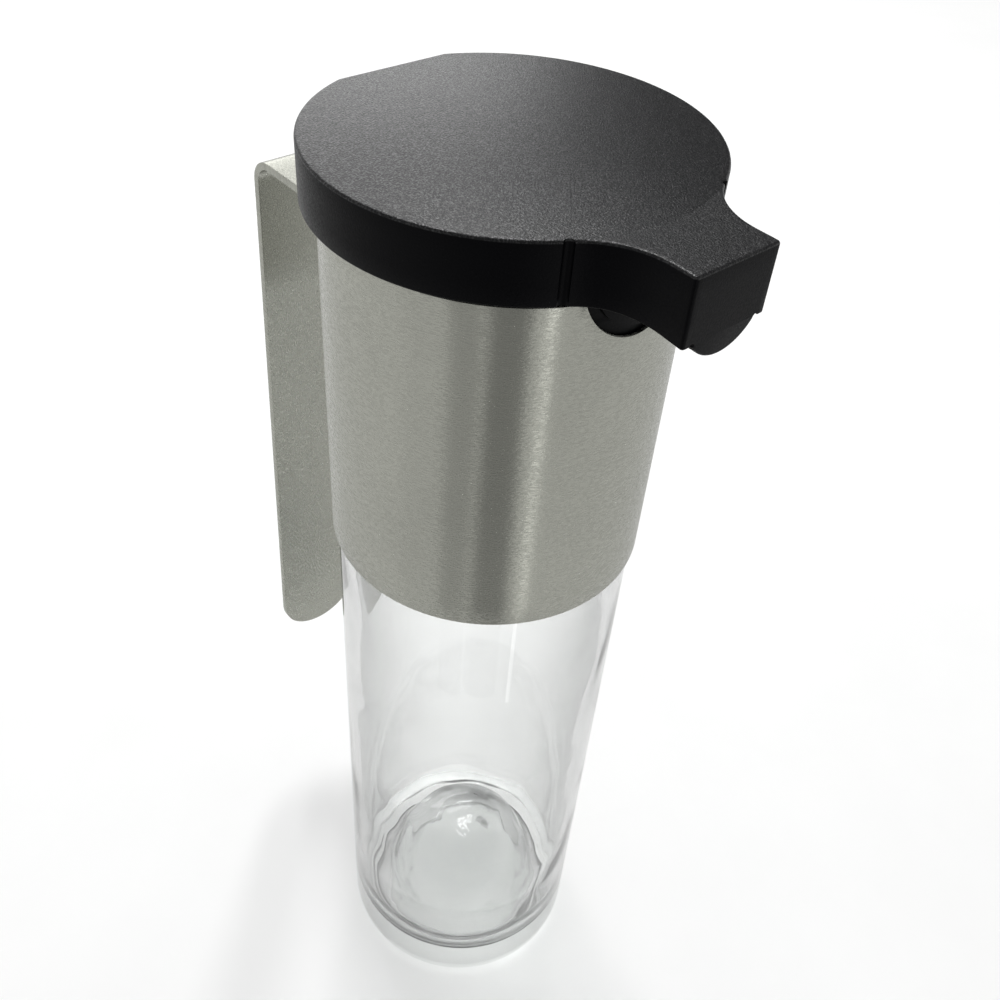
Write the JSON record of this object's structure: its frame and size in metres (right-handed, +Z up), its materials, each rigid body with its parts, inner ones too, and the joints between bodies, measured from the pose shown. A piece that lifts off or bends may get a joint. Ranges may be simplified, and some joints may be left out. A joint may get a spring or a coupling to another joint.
{
  "type": "oil and vinegar dispenser",
  "caption": "Glass bottle with a pull-off steel-sleeved pouring head, a bent strap handle and a hinged lid whose beak shuts the spout.",
  "frame": {"origin": "on the bottle's axis, on the plane that its foot stands on", "axes": "+Z up along the bottle's axis, +X out of the spout, strap handle on the -X side"},
  "size_m": [0.0941, 0.0542, 0.1837],
  "materials": {
    "clear_glass": "clear, polished",
    "sleeve_steel": "fine circumferential brushing",
    "strap_steel": "satin",
    "lid_plastic": "black, fine grain",
    "head_plastic": "black, satin",
    "silicone": "dark grey silicone",
    "fastener_steel": "bright",
    "tube_steel": "bright"
  },
  "bodies": {
    "bottle": {"glass_bottle": "clear_glass"},
    "head": {"mouth_gasket": "silicone", "pour_head": "head_plastic", "upper_plug_ring": "silicone", "lower_plug_ring": "silicone", "deck_gasket": "silicone", "spout_deck": "head_plastic", "deck_screws": "fastener_steel", "vent_tube": "tube_steel", "deck_bumpers": "silicone", "steel_sleeve": "sleeve_steel", "handle_strap": "strap_steel", "handle_screws": "fastener_steel"},
    "lid": {"lid_shell": "lid_plastic", "mouth_pad": "silicone", "hinge_pin": "fastener_steel"}
  },
  "joints": [
    {"name": "head_lift", "type": "slide", "parent": "bottle", "child": "head", "axis": [0, 0, 1], "range_m": [0, 0.06]},
    {"name": "lid_hinge", "type": "hinge", "parent": "head", "child": "lid", "pos_m": [-0.0231, 0, 0.178], "axis": [0, -1, 0], "range_deg": [0, 95]}
  ]
}
